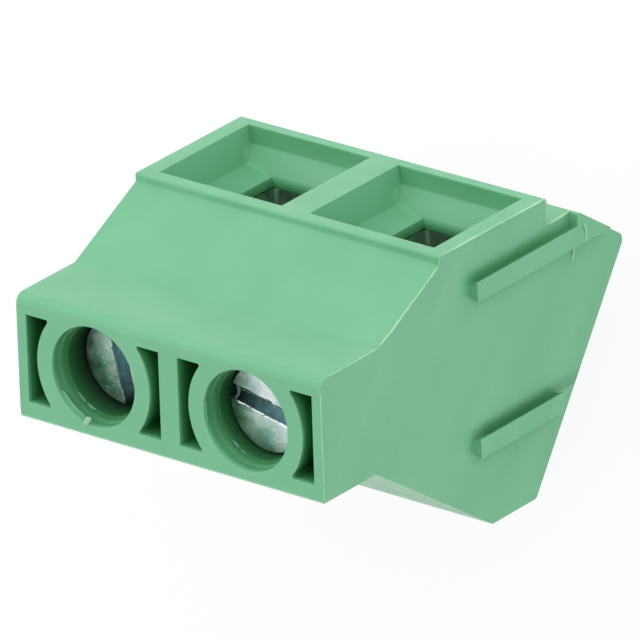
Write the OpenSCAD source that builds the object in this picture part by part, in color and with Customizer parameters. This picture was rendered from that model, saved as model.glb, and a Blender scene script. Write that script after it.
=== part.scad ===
// Two-pole oblique screw terminal for a printed circuit board.
// A moulded housing holds, for each pole, a slotted screw, a folded clamping
// sleeve and a current bar that ends in a solder pin.
//
// Frames, in millimetres. The row frame has +Z up from the board, its seat at
// z = 0 and the row of solder pins at y = 0. The body frame leans by the tilt:
// x is the same, v runs along the screw axes into the housing from the front
// face, and w runs along the wire axes out of the housing from the bottom edge
// of the front face. A point (x, v, w) is drawn as [x, v, w] inside
// in_body_frame().

/* [Poles] */
// Distance between the two poles
pole_pitch = 9.52; // [9.3:0.02:11]
// Angle between the screw axes and the board
tilt = 55; // [52:1:58]

/* [Housing outline] */
// How far the bottom edge of the front face stands out before its top
front_lean = 0.2; // [0:0.05:0.3]
// Height of the front face, up to the shelf
front_h = 6.45; // [6.3:0.05:7]
// Depth of the flat shelf behind the top of the front face
shelf_l = 4.53; // [3.5:0.01:6]
// Distance from the front face to the front of the funnel rim
rim_start = 9.44; // [9.1:0.02:9.6]
// Length of the funnel rim along the screw axis
rim_l = 8.32; // [8.2:0.02:9]
// Height of the funnel rim above the bottom edge of the front face
rim_h = 9.38; // [9.1:0.02:10]
// Height of the small upright lip at the front of the rim
lip_h = 0.44; // [0.2:0.02:0.8]
// Depth of the step behind the rim
ledge_drop = 1.42; // [1:0.02:1.6]
// Length of the ledge at that step
ledge_l = 2.05; // [1.5:0.05:2.5]
// Distance from the front face to the notch under it
notch_start = 3.84; // [3.5:0.02:4]
// Length of the upright wall below the notch
belly_l = 10.57; // [10.2:0.01:11.5]
// Length of the sloping toe in front of the seat
toe_l = 3.49; // [3:0.01:4]

/* [Edge rounding] */
// Radius along the top of the front face
nose_r = 0.55; // [0.3:0.05:1]
// Radius along the lower rear edge
heel_r = 0.45; // [0.2:0.05:0.8]
// Radius along the front face's bottom edge and the rear edges of rim and ledge
crisp_r = 0.08; // [0.04:0.01:0.2]
// Radius along every other outer edge
edge_r = 0.25; // [0.1:0.05:0.35]

/* [Funnels] */
// Wall outside each funnel, at the rim
funnel_side_wall = 0.93; // [0.7:0.01:1.1]
// Wall between the two funnels, at the rim
funnel_mid_wall = 1.75; // [1.2:0.01:2.2]
// Wall in front of the funnels, at the rim
funnel_front_wall = 0.75; // [0.6:0.01:1]
// Wall behind the funnels, at the rim
funnel_rear_wall = 0.62; // [0.5:0.01:0.8]
// Depth of the upright band at the front and rear of a funnel
funnel_band = 0.95; // [0.6:0.01:1.3]
// Depth of the funnel's side walls
funnel_side_depth = 1.78; // [1.5:0.01:2]
// Inward lean of the funnel's side walls over their depth
funnel_side_lean = 0.32; // [0.1:0.01:0.5]
// Depth from the rim to the square neck
neck_depth = 2.16; // [2:0.01:2.4]
// Side of the square neck that the wire passes
neck_side = 3.8; // [3.4:0.1:4.2]
// Height of the neck
neck_h = 0.52; // [0.4:0.01:0.7]

/* [Screw bores] */
// Height of the screw axis above the bottom edge of the front face
bore_w = 3.2; // [3.1:0.01:3.4]
// Diameter of the bore's mouth
mouth_d = 5.2; // [5.15:0.01:5.4]
// Diameter of the first step in the bore
step_d = 5; // [4.95:0.01:5.1]
// Depth of each of the two steps
step_l = 0.41; // [0.2:0.01:0.6]
// Clearance round the screw head, on the radius
head_clear = 0.09; // [0.05:0.01:0.1]
// Clearance round the screw's shank, on the radius
shank_clear = 0.2; // [0.1:0.05:0.3]
// Thickness of the shoulder that the screw head rests on
shoulder_t = 1; // [0.8:0.05:1.2]

/* [Relief pockets] */
// Wall left round each bore, measured to the bore's mouth
pocket_ring = 0.95; // [0.7:0.05:1]
// Distance from the bore axis to the straight side of a pocket
pocket_reach = 4.17; // [4.1:0.01:4.3]
// Distance from the bore axis to the clipped tips of a pocket
pocket_clip = 2.82; // [2.7:0.01:3]
// Height of a pocket
pocket_h = 4.62; // [4.2:0.02:4.8]
// Depth of a pocket
pocket_depth = 4.4; // [3:0.1:4.4]

/* [Stacking ribs] */
// How far the dovetail ribs stand out of the side
rib_out = 0.5; // [0.3:0.05:0.6]
// Width of a rib at its outer face
rib_w = 1.05; // [0.8:0.01:1.2]
// Undercut on each flank of a rib
rib_undercut = 0.18; // [0.1:0.02:0.3]
// Height of the upper rib's middle above the front face's bottom edge
upper_rib_w = 6.8; // [6.4:0.05:6.9]
// Depth of the lower rib's middle below the front face's bottom edge
lower_rib_w = -1.45; // [-2:0.05:-1]
// Distance from the front face to the upper rib's front end
upper_rib_start = 11.6; // [10.5:0.1:13]
// Distance from the front face to the lower rib's front end
lower_rib_start = 11.3; // [10.5:0.1:13]
// Distance from the front face to the lower rib's rear end
lower_rib_end = 17.9; // [16:0.1:18.2]
// Length of the raised patch where the upper rib meets the ledge
rib_patch_l = 0.22; // [0.1:0.02:0.6]
// Clearance between a rib and the groove that takes it
rib_clear = 0.08; // [0.04:0.01:0.12]

/* [Screws] */
// Diameter of the screw head
head_d = 4.62; // [4.5:0.01:4.7]
// Height of the screw head
head_h = 2.1; // [1.6:0.1:2.2]
// Chamfer round the top of the head
head_chamfer = 0.05; // [0.04:0.01:0.3]
// Depth of the head's face below the front face, when the screw is home
head_sink = 2.1; // [2:0.05:2.3]
// How far the loose right-hand screw stands out from its home place
right_lift = 0.5; // [0:0.05:0.8]
// Width of the screwdriver slot
slot_w = 0.82; // [0.6:0.02:1]
// Depth of the screwdriver slot
slot_depth = 1.1; // [0.8:0.05:1.3]
// Angle of the left screw's slot, from level
left_slot_angle = -78.7; // [-180:0.1:180]
// Angle of the right screw's slot, from level
right_slot_angle = -12.4; // [-180:0.1:180]
// Outside diameter of the screw's thread
thread_d = 3; // [2.9:0.05:3]

/* [Clamping sleeves] */
// Thickness of the strip that the sleeve is folded from
strip_t = 0.9; // [0.8:0.02:0.92]
// Space between the two folded layers that carry the thread
fold_gap = 0.06; // [0.04:0.01:0.1]
// Inside width of the sleeve
sleeve_in_w = 3.6; // [3.5:0.05:3.8]
// Length of the strip along the wire axis
sleeve_l = 6.4; // [5.5:0.1:6.45]
// Outside bending radius of the strip
sleeve_r = 1.1; // [0.95:0.05:1.3]
// Opening for the wire when the clamp is fully open
wire_gap = 4; // [3.6:0.1:4]
// How far the sleeve travels as the screw is turned home
clamp_travel = 3.6; // [2:0.1:3.6]
// Space left in front of the sleeve when the clamp is fully closed
home_gap = 0.79; // [0.3:0.01:0.85]
// Clearance between the thread and the sleeve, on the radius
thread_clear = 0.05; // [0.03:0.01:0.1]
// Clearance between the sleeve and the housing
sleeve_clear = 0.13; // [0.1:0.01:0.3]
// Clearance between the metal parts' top edges and the cavity's ceiling
edge_clear = 0.06; // [0.04:0.01:0.15]
// Radius on the strip's cut edges
end_r = 0.1; // [0.05:0.01:0.12]
// Depth of the grip grooves in the sleeve and on the bar
grip_depth = 0.2; // [0.1:0.01:0.3]
// Distance from one grip groove to the next
grip_spacing = 1; // [0.8:0.05:1.1]

/* [Current bars] */
// Thickness of the current bar
bar_t = 1; // [0.8:0.05:1.1]
// Clearance between the bar's sides and the inside of the sleeve
bar_side_clear = 0.1; // [0.05:0.01:0.2]
// Clearance between the bar and the sleeve's threaded wall
bar_front_clear = 0.1; // [0.05:0.01:0.2]
// Clearance between the screw's tip and the bar
tip_clear = 0.1; // [0.05:0.01:0.2]
// Length of the bar's foot, which stops the wire
foot_l = 3.6; // [3:0.1:4]
// Gap between the sleeve and the bar's foot
foot_gap = 0.4; // [0.3:0.05:0.6]
// Inside bending radius of the bar
bend_r = 0.4; // [0.2:0.05:0.6]
// How far the bar's shoulders reach into the housing on each side
shoulder_grip = 0.4; // [0.2:0.05:0.6]
// Clearance between the bar's shoulders and their slots
grip_clear = 0.03; // [0.02:0.01:0.06]
// Height of the shoulders' lower ends above the board
shoulder_low = 0.4; // [0.3:0.05:0.6]
// Width of a solder pin
pin_w = 1.2; // [1:0.05:1.4]
// Length of a solder pin below the seat
pin_l = 3.5; // [2.6:0.1:4]

/* [Clamp cavities] */
// Wall between a clamp cavity and the belly and toe
belly_wall = 0.9; // [0.8:0.05:1.1]

/* [Hidden] */

housing_color = [0.47, 0.76, 0.57];
screw_color = [0.78, 0.79, 0.80];
sleeve_color = [0.70, 0.71, 0.70];
bar_color = [0.80, 0.79, 0.74];

cut = 0.5;            // how far a cutting shape runs past the face it cuts
overlap = 0.01;       // how far two joined cutting shapes run into each other
arc_steps = 6;        // straight pieces in a rounded edge
c = cos(tilt);
s = sin(tilt);
down = [s, -c];       // the way to the board, as [v, w]
along = [c, s];       // along the board, away from the front, as [v, w]
half_pitch = pole_pitch / 2;
body_w = 2 * pole_pitch;

// Corners of the housing's side view, as [v, w]
notch = [notch_start, 0];
belly_foot = notch + belly_l * down;
toe_end = belly_foot + [toe_l, 0];
rim_end = rim_start + rim_l;
ledge_w = rim_h - ledge_drop;
ledge_end = [rim_end + ledge_l, ledge_w];
seat_l = (ledge_end - toe_end) * along;
heel = toe_end + seat_l * along;

// The clamp, front to rear along v
head_seat = head_sink + head_h;
cavity_start = head_seat + shoulder_t;
sleeve_front_t = 2 * strip_t + fold_gap;
sleeve_start = cavity_start + home_gap + clamp_travel;
sleeve_inner = sleeve_start + sleeve_front_t;
bar_start = sleeve_inner + bar_front_clear;
bar_end = bar_start + bar_t;
sleeve_far = bar_end + wire_gap;
sleeve_end = sleeve_far + strip_t;
sleeve_w = sleeve_in_w + 2 * strip_t;
cavity_w = sleeve_w + 2 * sleeve_clear;
cavity_top = rim_h - neck_depth - neck_h;
sleeve_top = cavity_top - edge_clear;
sleeve_bottom = sleeve_top - sleeve_l;
cavity_rear = [sleeve_end + sleeve_clear, cavity_top];

// The current bar's middle line, as [v, w]
bar_v = bar_start + bar_t / 2;
foot_w = sleeve_bottom - foot_gap - bar_t / 2;
leg = [bar_v + foot_l, foot_w];
bar_w = sleeve_in_w - 2 * bar_side_clear;
leg_w = cavity_w + 2 * shoulder_grip;

// Where the body frame stands in the row frame
lift = s * toe_end[0] - c * toe_end[1];
pin_y = leg * along;
leg_z = lift - leg * down;

function row_z(p) = lift - p * down;

// Points of a corner rounded to radius r, between the corners before and after it
function corner(before, at, after, r) =
    r == 0 ? [at] :
    let (a = (before - at) / norm(before - at), b = (after - at) / norm(after - at),
         half = acos(max(-1, min(1, a * b))) / 2,
         middle = at + (a + b) / norm(a + b) * r / sin(half),
         turn = cross(a, b) > 0 ? 1 : -1,
         first = at + a * r / tan(half) - middle,
         sweep = turn * (180 - 2 * half))
    [for (i = [0:arc_steps]) let (t = sweep * i / arc_steps)
        middle + [first[0] * cos(t) + first[1] * sin(t), -first[0] * sin(t) + first[1] * cos(t)]];

// An outline whose corners, each [point, radius], are rounded
function rounded(corners) = let (n = len(corners))
    [for (i = [0:n - 1])
        each corner(corners[(i + n - 1) % n][0], corners[i][0], corners[(i + 1) % n][0], corners[i][1])];

// Draws children given in the body frame
module in_body_frame() {
    translate([0, -pin_y, lift]) rotate([-tilt, 0, 0]) children();
}

// Extrudes a side view given as [v, w] across x, centred
module across(width) {
    rotate([90, 0, 90]) translate([0, 0, -width / 2]) linear_extrude(width) children();
}

// A cylinder along a screw axis, from v = from to v = to
module bore(d, from, to) {
    translate([0, from, bore_w]) rotate([-90, 0, 0]) cylinder(d = d, h = to - from, $fn = 64);
}

// Side view of the housing
module outline() {
    polygon(rounded([
        [[-front_lean, 0], crisp_r], [[0, front_h], nose_r], [[shelf_l, front_h], edge_r],
        [[rim_start, rim_h - lip_h], edge_r / 2], [[rim_start, rim_h], edge_r / 2],
        [[rim_end, rim_h], crisp_r], [[rim_end, ledge_w], edge_r / 2], [ledge_end, crisp_r],
        [heel, heel_r], [toe_end, edge_r], [belly_foot, edge_r], [notch, edge_r],
    ]));
}

// One dovetail rib, or the groove for it when grown by a clearance, on the side x = 0
module dovetail(w, start, end, grow) {
    outer = rib_w / 2 + grow;
    root = outer - rib_undercut;
    translate([0, start - grow, w]) rotate([-90, 0, 0])
        linear_extrude(end - start + grow)
            polygon([[-grow, root], [rib_out + grow, outer], [rib_out + grow, -outer], [-grow, -root]]);
}

// Both ribs and the raised patch beside the ledge, on the side x = 0
module dovetails(lower_end, grow) {
    dovetail(upper_rib_w, upper_rib_start, heel[0] + cut, grow);
    dovetail(lower_rib_w, lower_rib_start, lower_end, grow);
    patch_start = ledge_end[0] - rib_patch_l - grow;
    translate([-grow, patch_start, upper_rib_w])
        cube([rib_out + 2 * grow, heel[0] - patch_start, ledge_w - upper_rib_w + cut]);
}

// The funnel and neck of one pole; side is -1 for the left pole and 1 for the right
module funnel(side) {
    outer = half_pitch - funnel_side_wall;
    inner = half_pitch - funnel_mid_wall / 2;
    front = rim_start + funnel_front_wall;
    rear = rim_end - funnel_rear_wall;
    neck_w = rim_h - neck_depth;
    side_w = rim_h - funnel_side_depth;
    band_w = rim_h - funnel_band;
    half_neck = neck_side / 2;
    lean = funnel_side_lean;
    neck_v = (bar_end + sleeve_far) / 2;
    intersection() {
        across(pole_pitch) polygon([
            [front, rim_h + cut], [rear, rim_h + cut], [rear, band_w], [neck_v + half_neck, neck_w],
            [neck_v - half_neck, neck_w], [front, band_w],
        ]);
        scale([side, 1, 1]) translate([0, rim_end, 0]) rotate([90, 0, 0]) linear_extrude(rim_l) polygon([
            [outer, rim_h + cut], [outer, rim_h], [outer - lean, side_w], [half_neck, neck_w],
            [-half_neck, neck_w], [lean - inner, side_w], [-inner, rim_h], [-inner, rim_h + cut],
        ]);
    }
    translate([-half_neck, neck_v - half_neck, cavity_top - cut])
        cube([neck_side, neck_side, neck_h + cut + overlap]);
}

// One relief pocket beside a bore; side is -1 or 1
module pocket(side) {
    ring_r = mouth_d / 2 + pocket_ring;
    translate([0, pocket_depth, bore_w]) rotate([90, 0, 0]) linear_extrude(pocket_depth + cut)
        difference() {
            translate([side > 0 ? pocket_clip : -pocket_reach, -pocket_h / 2])
                square([pocket_reach - pocket_clip, pocket_h]);
            circle(r = ring_r, $fn = 64);
        }
}

// The clamp cavity of one pole, open to the seat, with the slots that grip the bar
module clamp_cavity() {
    toe_w = toe_end[1] + belly_wall;
    seat_front = toe_end + belly_wall / s * along;
    belly_line = notch + belly_wall * along;
    belly_low = belly_line + (belly_line[1] - toe_w) / c * down;
    belly_high = belly_line + (cavity_start - belly_line[0]) / s * down;
    across(cavity_w) polygon([
        [cavity_start, cavity_top], cavity_rear, cavity_rear + (row_z(cavity_rear) + cut) * down,
        seat_front + cut * down, seat_front, belly_low, belly_high,
    ]);
    half_slot = (bar_t / 2 + grip_clear) * along;
    slot_foot = (leg_z + cut) * down;
    across(leg_w + 2 * grip_clear) polygon([
        leg - half_slot, leg + half_slot, leg + half_slot + slot_foot, leg - half_slot + slot_foot,
    ]);
}

module housing() {
    color(housing_color) in_body_frame() difference() {
        union() {
            across(body_w) outline();
            intersection() {
                translate([body_w / 2, 0, 0]) dovetails(lower_rib_end, 0);
                across(body_w + 4 * rib_out) outline();
            }
        }
        translate([-body_w / 2, 0, 0]) dovetails(heel[0] + cut, rib_clear);
        for (side = [-1, 1]) translate([side * half_pitch, 0, 0]) {
            bore(mouth_d, -cut, step_l);
            bore(step_d, -cut, 2 * step_l);
            bore(head_d + 2 * head_clear, -cut, head_seat);
            bore(thread_d + 2 * shank_clear, -cut, cavity_start + cut);
            pocket(-1);
            pocket(1);
            funnel(side);
            clamp_cavity();
        }
    }
}

// One screw, home against the shoulder; slot_angle turns its slot from level
module screw(slot_angle) {
    tip = bar_start - tip_clear;
    head_r = head_d / 2;
    thread_r = thread_d / 2;
    tip_chamfer = thread_r / 3;
    color(screw_color) difference() {
        translate([0, 0, bore_w]) rotate([-90, 0, 0]) rotate_extrude($fn = 64) polygon([
            [0, head_sink], [head_r - head_chamfer, head_sink], [head_r, head_sink + head_chamfer],
            [head_r, head_seat], [thread_r, head_seat], [thread_r, tip - tip_chamfer],
            [thread_r - tip_chamfer, tip], [0, tip],
        ]);
        translate([0, head_sink, bore_w]) rotate([0, -slot_angle, 0])
            translate([-head_d, -cut, -slot_w / 2]) cube([2 * head_d, cut + slot_depth, slot_w]);
    }
}

// Three V grooves along x, cut into a face at v, opening towards the wire space
module grip_grooves(v, into) {
    for (i = [-1:1]) translate([0, v, bore_w + i * grip_spacing]) across(2 * sleeve_w) polygon([
        [-into * overlap, -grip_depth], [into * grip_depth, 0], [-into * overlap, grip_depth],
    ]);
}

// One clamping sleeve, folded from a strip whose ends overlap at the screw
module clamp_sleeve() {
    outer = sleeve_w / 2;
    inner = sleeve_in_w / 2;
    inner_r = sleeve_r - strip_t;
    lap = sleeve_start + strip_t;
    tuck = lap + fold_gap;
    free_end = strip_t / 2 - outer;
    color(sleeve_color) difference() {
        translate([0, 0, sleeve_bottom]) linear_extrude(sleeve_l) polygon(rounded([
            [[free_end, sleeve_start], end_r], [[outer, sleeve_start], sleeve_r],
            [[outer, sleeve_end], sleeve_r], [[-outer, sleeve_end], sleeve_r],
            [[-outer, tuck], strip_t], [[inner - fold_gap, tuck], end_r],
            [[inner - fold_gap, sleeve_inner], end_r], [[-inner, sleeve_inner], end_r],
            [[-inner, sleeve_far], inner_r], [[inner, sleeve_far], inner_r],
            [[inner, lap], inner_r], [[free_end, lap], end_r],
        ]));
        bore(thread_d + 2 * thread_clear, sleeve_start - cut, sleeve_inner + cut);
        grip_grooves(sleeve_far, 1);
    }
}

// The tapered solder pin, in the row frame, from a height down to its tip
module solder_pin(from) {
    taper = bar_t / 2;
    tip_t = bar_t / 2;
    tip_w = pin_w / 2;
    intersection() {
        rotate([90, 0, 90]) translate([0, 0, -pin_w / 2]) linear_extrude(pin_w) polygon([
            [-bar_t / 2, from], [-bar_t / 2, taper - pin_l], [-tip_t / 2, -pin_l],
            [tip_t / 2, -pin_l], [bar_t / 2, taper - pin_l], [bar_t / 2, from],
        ]);
        rotate([90, 0, 0]) translate([0, 0, -bar_t / 2]) linear_extrude(bar_t) polygon([
            [-pin_w / 2, from], [-pin_w / 2, taper - pin_l], [-tip_w / 2, -pin_l],
            [tip_w / 2, -pin_l], [pin_w / 2, taper - pin_l], [pin_w / 2, from],
        ]);
    }
}

// One current bar, bent from a strip: clamp face, foot, leg with shoulders, and pin
module current_bar() {
    half = bar_t / 2;
    mitre = half * tan((90 - tilt) / 2);
    outer_r = bend_r + bar_t;
    leg_end = leg + (leg_z - shoulder_low) * down;
    shoulder_high = leg + bar_t * down;
    bar_top = cavity_top - edge_clear;
    color(bar_color) {
        in_body_frame() {
            difference() {
                across(bar_w) polygon(rounded([
                    [[bar_start, bar_top], end_r], [[bar_end, bar_top], end_r],
                    [[bar_end, foot_w + half], bend_r], [[leg[0] + mitre, foot_w + half], outer_r],
                    [leg_end + half * along, 0], [leg_end - half * along, 0],
                    [[leg[0] - mitre, foot_w - half], bend_r], [[bar_start, foot_w - half], outer_r],
                ]));
                grip_grooves(bar_end, -1);
            }
            across(leg_w) polygon([
                shoulder_high - half * along, shoulder_high + half * along,
                leg_end + half * along, leg_end - half * along,
            ]);
        }
        solder_pin(shoulder_low);
    }
}

module screw_left() {
    in_body_frame() translate([-half_pitch, 0, 0]) screw(left_slot_angle);
}

module screw_right() {
    in_body_frame() translate([half_pitch, -right_lift, 0]) screw(right_slot_angle);
}

module clamp_sleeve_left() {
    in_body_frame() translate([-half_pitch, 0, 0]) clamp_sleeve();
}

module clamp_sleeve_right() {
    in_body_frame() translate([half_pitch, 0, 0]) clamp_sleeve();
}

module current_bar_left() {
    translate([-half_pitch, 0, 0]) current_bar();
}

module current_bar_right() {
    translate([half_pitch, 0, 0]) current_bar();
}

housing();
screw_left();
screw_right();
clamp_sleeve_left();
clamp_sleeve_right();
current_bar_left();
current_bar_right();
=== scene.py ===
"""Looks of a two-pole oblique screw terminal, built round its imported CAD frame.

Lengths in the classes are millimetres in the body frame: x runs across the
poles, v along the screw axes into the housing, and w along the wire axes out
of it. BodyFrame turns them into the row frame, in metres.
"""

import logging
import math
from collections.abc import Callable
from dataclasses import dataclass
from enum import Enum

import bmesh
import bpy
from mathutils import Matrix, Vector, noise


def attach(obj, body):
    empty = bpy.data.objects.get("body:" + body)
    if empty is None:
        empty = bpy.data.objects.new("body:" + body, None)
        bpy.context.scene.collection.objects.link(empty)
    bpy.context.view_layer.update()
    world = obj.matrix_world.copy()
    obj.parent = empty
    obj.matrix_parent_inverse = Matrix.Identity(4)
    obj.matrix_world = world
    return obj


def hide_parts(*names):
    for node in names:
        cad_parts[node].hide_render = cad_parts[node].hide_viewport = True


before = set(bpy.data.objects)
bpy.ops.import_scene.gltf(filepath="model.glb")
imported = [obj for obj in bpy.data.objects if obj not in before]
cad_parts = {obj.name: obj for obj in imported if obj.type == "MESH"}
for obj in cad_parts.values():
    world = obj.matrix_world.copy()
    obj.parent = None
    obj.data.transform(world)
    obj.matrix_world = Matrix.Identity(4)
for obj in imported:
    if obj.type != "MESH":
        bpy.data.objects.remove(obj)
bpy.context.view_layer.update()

MM = 0.001
HALF_PITCH = 4.76
HALF_WIDTH = 2 * HALF_PITCH
AXIS_W = 3.2

Triple = tuple[float, float, float]
Colour = Triple
Socket = bpy.types.NodeSocket
Step = tuple[Socket, float, float, float, float]

logging.basicConfig(level=logging.INFO, format="%(name)s: %(message)s")
log = logging.getLogger("screw_terminal")


class Pole(Enum):
    """One of the two poles, with its sign along x."""

    LEFT = -1
    RIGHT = 1

    @property
    def word(self) -> str:
        """The pole's name as the CAD nodes and bodies spell it."""
        return self.name.lower()


class Slot(Enum):
    """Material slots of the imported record."""

    PLASTIC = "housing_plastic"
    SCREW = "screw_steel"
    SLEEVE = "sleeve_steel"
    BAR = "bar_tinned_copper"


@dataclass(frozen=True)
class BodyFrame:
    """The leaning frame that the housing is drawn in.

    Args:
        tilt: angle between the screw axes and the board, in degrees.
        pin_y: place of the solder pins along the board, from the body frame.
        lift: height of the body frame's origin above the board.
    """

    tilt: float = 55.0
    pin_y: float = 8.435831
    lift: float = 16.574384

    @property
    def turn(self) -> Matrix:
        """Rotation from (x, v, w) to the row frame."""
        return Matrix.Rotation(math.radians(-self.tilt), 4, "X")

    @property
    def matrix(self) -> Matrix:
        """Millimetres in the body frame to metres in the row frame."""
        shift = Matrix.Translation(Vector((0, -self.pin_y, self.lift)))
        return Matrix.Scale(MM, 4) @ shift @ self.turn

    def place(self, x: float, v: float, w: float) -> Vector:
        """The row-frame place, in metres, of a point in the body frame."""
        return self.matrix @ Vector((x, v, w))

    def way(self, x: float, v: float, w: float) -> Vector:
        """The row-frame unit direction of a direction in the body frame."""
        return (self.turn.to_3x3() @ Vector((x, v, w))).normalized()


BODY = BodyFrame()


class Nodes:
    """Adds and joins the shader nodes of one material or world."""

    def __init__(self, name: str) -> None:
        """Starts an empty material.

        Args:
            name: the material's name.
        """
        self._take(bpy.data.materials.new(name))

    def _take(self, owner: bpy.types.Material | bpy.types.World) -> None:
        """Empties an owner's node tree and keeps both at hand.

        Args:
            owner: the material or world.
        """
        self.owner = owner
        owner.use_nodes = True
        self.tree = owner.node_tree
        self.tree.nodes.clear()

    @classmethod
    def of(cls, owner: bpy.types.Material | bpy.types.World) -> "Nodes":
        """A helper on a material or world that exists already.

        Args:
            owner: the material or world; its nodes are cleared.

        Returns:
            The helper.
        """
        nodes = cls.__new__(cls)
        nodes._take(owner)
        return nodes

    def add(self, kind: str, **sockets: object) -> bpy.types.Node:
        """Adds a node and fills its sockets.

        Args:
            kind: the node type without its "ShaderNode" start.
            **sockets: values or other nodes' sockets, by input name with
                spaces as underscores; names that are node properties are set
                on the node.

        Returns:
            The new node.
        """
        node = self.tree.nodes.new("ShaderNode" + kind)
        for key, value in sockets.items():
            if hasattr(node, key) and key not in node.inputs:
                setattr(node, key, value)
                continue
            socket = node.inputs[key.replace("_", " ")]
            if isinstance(value, Socket):
                self.tree.links.new(value, socket)
            else:
                socket.default_value = value
        return node

    def ramp(self, factor: Socket, stops: list[tuple[float, Colour]]) -> Socket:
        """Adds a colour ramp.

        Args:
            factor: what the ramp reads.
            stops: places and colours along the ramp.

        Returns:
            The ramp's colour output.
        """
        node = self.add("ValToRGB", Fac=factor)
        elements = node.color_ramp.elements
        while len(elements) < len(stops):
            elements.new(0.5)
        for element, (place, colour) in zip(elements, stops):
            element.position = place
            element.color = (*colour, 1)
        return node.outputs["Color"]

    def noise(self, scale: float, detail: float = 3.0, stretch: Triple = (1, 1, 1)) -> Socket:
        """Adds noise on Object coordinates.

        Args:
            scale: features per metre.
            detail: octaves of the noise.
            stretch: scale along each axis before the noise.

        Returns:
            The noise's value output.
        """
        place = self.add("TexCoord").outputs["Object"]
        turned = self.add("Mapping", Vector=place, Scale=stretch).outputs["Vector"]
        return self.add("TexNoise", Vector=turned, Scale=scale, Detail=detail).outputs["Fac"]

    def spread(self, value: Socket, low: float, high: float) -> Socket:
        """Maps noise to a range.

        Args:
            value: a noise value.
            low: what its usual lowest value becomes.
            high: what its usual highest value becomes.

        Returns:
            The mapped value.
        """
        node = self.add("MapRange", Value=value)
        ends = (("From Min", 0.3), ("From Max", 0.7), ("To Min", low), ("To Max", high))
        for key, number in ends:
            node.inputs[key].default_value = number
        return node.outputs["Result"]

    def along(self, way: Triple) -> Socket:
        """Distance along a direction of the body frame, from its origin.

        Args:
            way: the direction in the body frame.

        Returns:
            The distance, in metres.
        """
        direction = BODY.way(*way)
        dot = self.add("VectorMath", operation="DOT_PRODUCT")
        self.tree.links.new(self.add("TexCoord").outputs["Object"], dot.inputs[0])
        dot.inputs[1].default_value = direction
        node = self.add("Math", operation="SUBTRACT")
        self.tree.links.new(dot.outputs["Value"], node.inputs[0])
        node.inputs[1].default_value = BODY.place(0, 0, 0).dot(direction)
        return node.outputs[0]

    def limits(self, *steps: Step) -> Socket:
        """The product of smooth steps.

        Args:
            *steps: for each step its value, where it starts and ends in
                millimetres, and its result before and after.

        Returns:
            The product.
        """
        found = None
        for value, start, end, before, after in steps:
            step = self.smooth(value, (start * MM, end * MM), (before, after))
            found = step if found is None else self.product(found, step)
        return found

    def smooth(
        self, value: Socket, given: tuple[float, float], wanted: tuple[float, float]
    ) -> Socket:
        """Maps a value smoothly from one range to another.

        Args:
            value: what is mapped.
            given: the value's range.
            wanted: the result's range.

        Returns:
            The mapped value.
        """
        node = self.add("MapRange", interpolation_type="SMOOTHSTEP", Value=value)
        for key, number in zip(("From Min", "From Max", "To Min", "To Max"), (*given, *wanted)):
            node.inputs[key].default_value = number
        return node.outputs["Result"]

    def product(self, first: Socket, second: Socket) -> Socket:
        """The product of two values.

        Args:
            first: one value.
            second: the other.

        Returns:
            The product.
        """
        node = self.add("Math", operation="MULTIPLY")
        self.tree.links.new(first, node.inputs[0])
        self.tree.links.new(second, node.inputs[1])
        return node.outputs[0]

    def largest(self, *values: Socket) -> Socket:
        """The largest of several values.

        Args:
            *values: what is compared.

        Returns:
            The largest.
        """
        found = values[0]
        for value in values[1:]:
            node = self.add("Math", operation="MAXIMUM")
            self.tree.links.new(found, node.inputs[0])
            self.tree.links.new(value, node.inputs[1])
            found = node.outputs[0]
        return found

    def blend_colours(self, factor: Socket, first: Socket, second: Socket) -> Socket:
        """Mixes two colours.

        Args:
            factor: share of the second colour.
            first: the first colour.
            second: the second colour.

        Returns:
            The mixed colour.
        """
        node = self.add("MixRGB")
        for place, socket in enumerate((factor, first, second)):
            self.tree.links.new(socket, node.inputs[place])
        return node.outputs[0]

    def mix(
        self, factor: Socket, first: bpy.types.Node, second: bpy.types.Node
    ) -> bpy.types.Node:
        """Mixes two shaders.

        Args:
            factor: share of the second shader.
            first: the first shader's node.
            second: the second shader's node.

        Returns:
            The mixing node.
        """
        node = self.add("MixShader", Fac=factor)
        self.tree.links.new(first.outputs[0], node.inputs[1])
        self.tree.links.new(second.outputs[0], node.inputs[2])
        return node

    def plain(self, factor: Socket, colour: Colour) -> Socket:
        """A ramp that has one colour all along, to blend with another.

        Args:
            factor: what the ramp reads.
            colour: its colour.

        Returns:
            The colour's socket.
        """
        return self.ramp(factor, [(0.3, colour), (0.7, colour)])

    def scaled(self, value: Socket, share: float) -> Socket:
        """A value times a fixed share.

        Args:
            value: what is scaled.
            share: the share.

        Returns:
            The scaled value.
        """
        node = self.add("Math", operation="MULTIPLY")
        self.tree.links.new(value, node.inputs[0])
        node.inputs[1].default_value = share
        return node.outputs[0]

    def shown(self) -> Socket:
        """One where a ray comes from the camera, a gloss or a clear piece."""
        path = self.add("LightPath").outputs
        return self.largest(
            path["Is Camera Ray"], path["Is Glossy Ray"], path["Is Transmission Ray"]
        )

    def finish(
        self, shader: bpy.types.Node, kind: str = "Material"
    ) -> bpy.types.Material | bpy.types.World:
        """Joins a shader to the output.

        Args:
            shader: the surface shader's node.
            kind: "Material" or "World".

        Returns:
            The finished material or world.
        """
        out = self.add("Output" + kind)
        self.tree.links.new(shader.outputs[0], out.inputs["Surface"])
        return self.owner


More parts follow.
